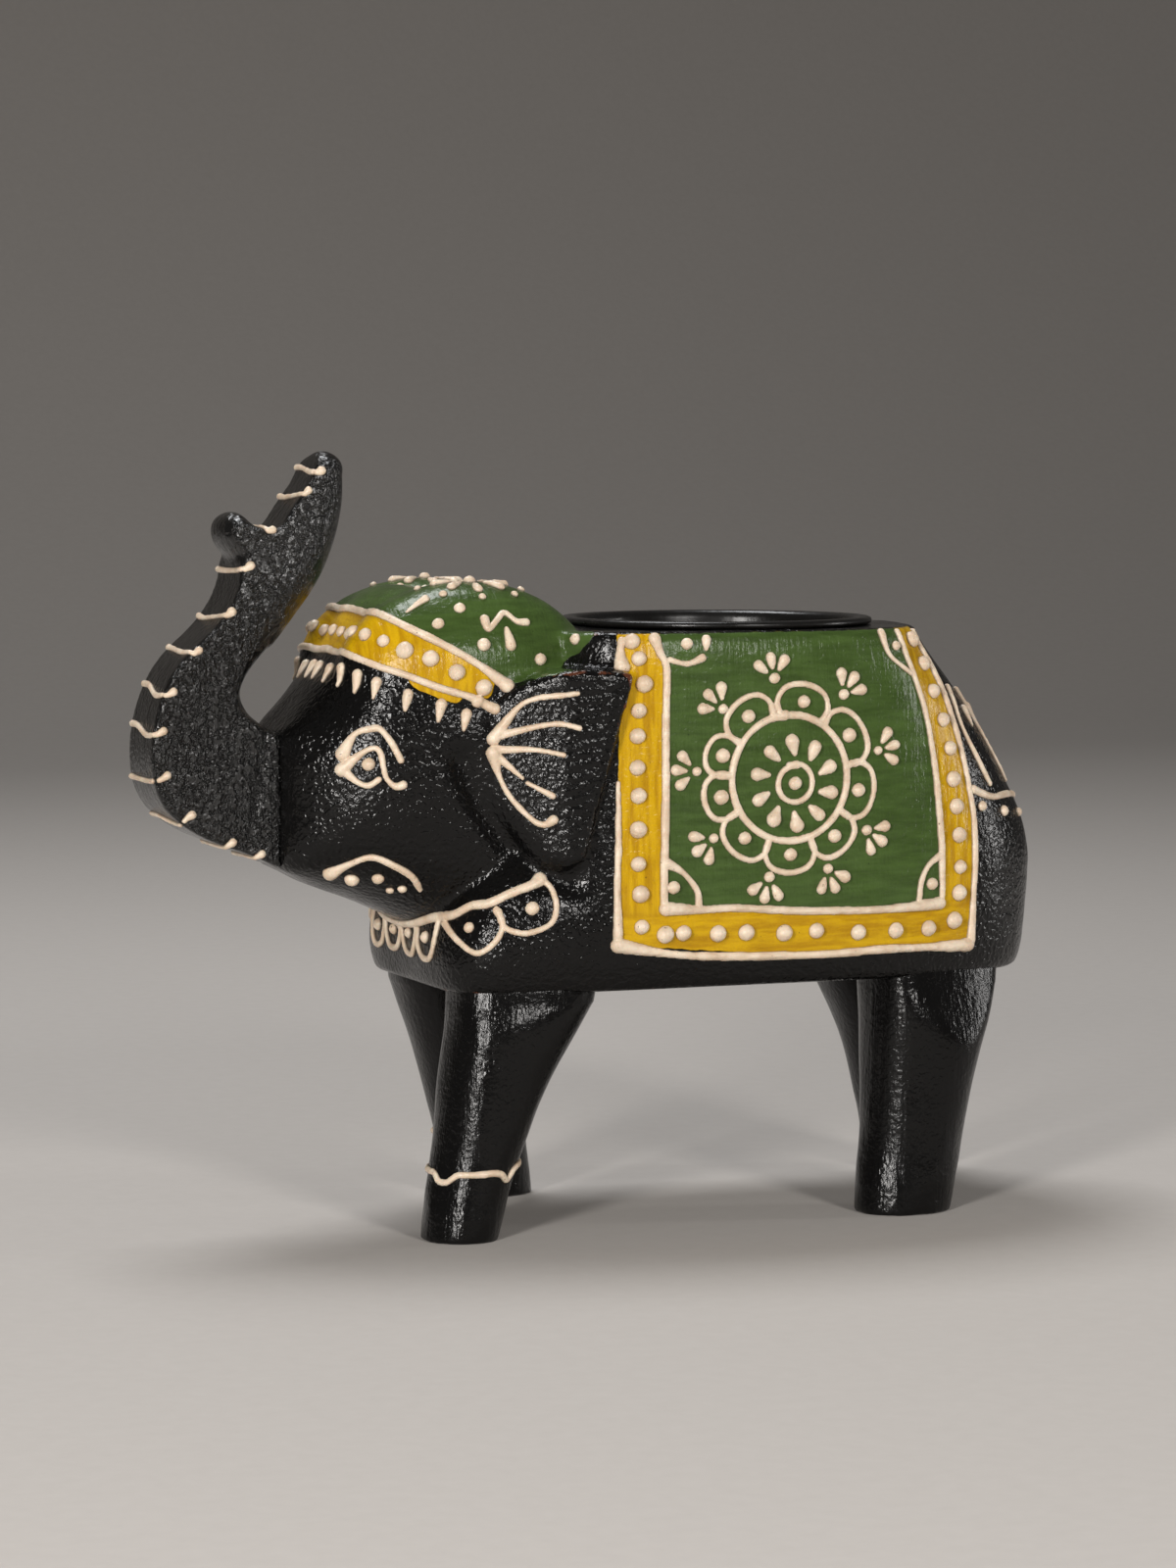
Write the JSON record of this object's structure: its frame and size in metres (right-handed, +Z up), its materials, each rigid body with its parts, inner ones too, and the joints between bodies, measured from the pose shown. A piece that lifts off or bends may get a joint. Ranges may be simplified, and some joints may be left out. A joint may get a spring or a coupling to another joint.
{
  "type": "carved wooden elephant",
  "caption": "Hand-painted carved wooden elephant figurine with raised trunk and a steel tealight cup let into its flat back.",
  "frame": {"origin": "on the floor under the middle of the figure's overall box", "axes": "-X towards the trunk, +X towards the rump, -Y the figure's left side, +Z up"},
  "size_m": [0.1366, 0.0548, 0.112],
  "materials": {
    "black_lacquered_wood": "brushed gloss black lacquer over carved hardwood",
    "bare_wood": "raw turned hardwood",
    "enamelled_steel": "gloss black enamel on pressed steel"
  },
  "bodies": {
    "elephant": {"body_block": "black_lacquered_wood", "trunk": "black_lacquered_wood", "front_left_leg": "black_lacquered_wood", "front_right_leg": "black_lacquered_wood", "rear_left_leg": "black_lacquered_wood", "rear_right_leg": "black_lacquered_wood", "front_left_leg_dowel": "bare_wood", "front_right_leg_dowel": "bare_wood", "rear_left_leg_dowel": "bare_wood", "rear_right_leg_dowel": "bare_wood", "trunk_dowel_lower": "bare_wood", "trunk_dowel_upper": "bare_wood"},
    "cup": {"tealight_cup": "enamelled_steel"}
  },
  "joints": [
    {"name": "cup_lift", "type": "slide", "parent": "elephant", "child": "cup", "axis": [0, 0, 1], "range_m": [0, 0.025]}
  ]
}
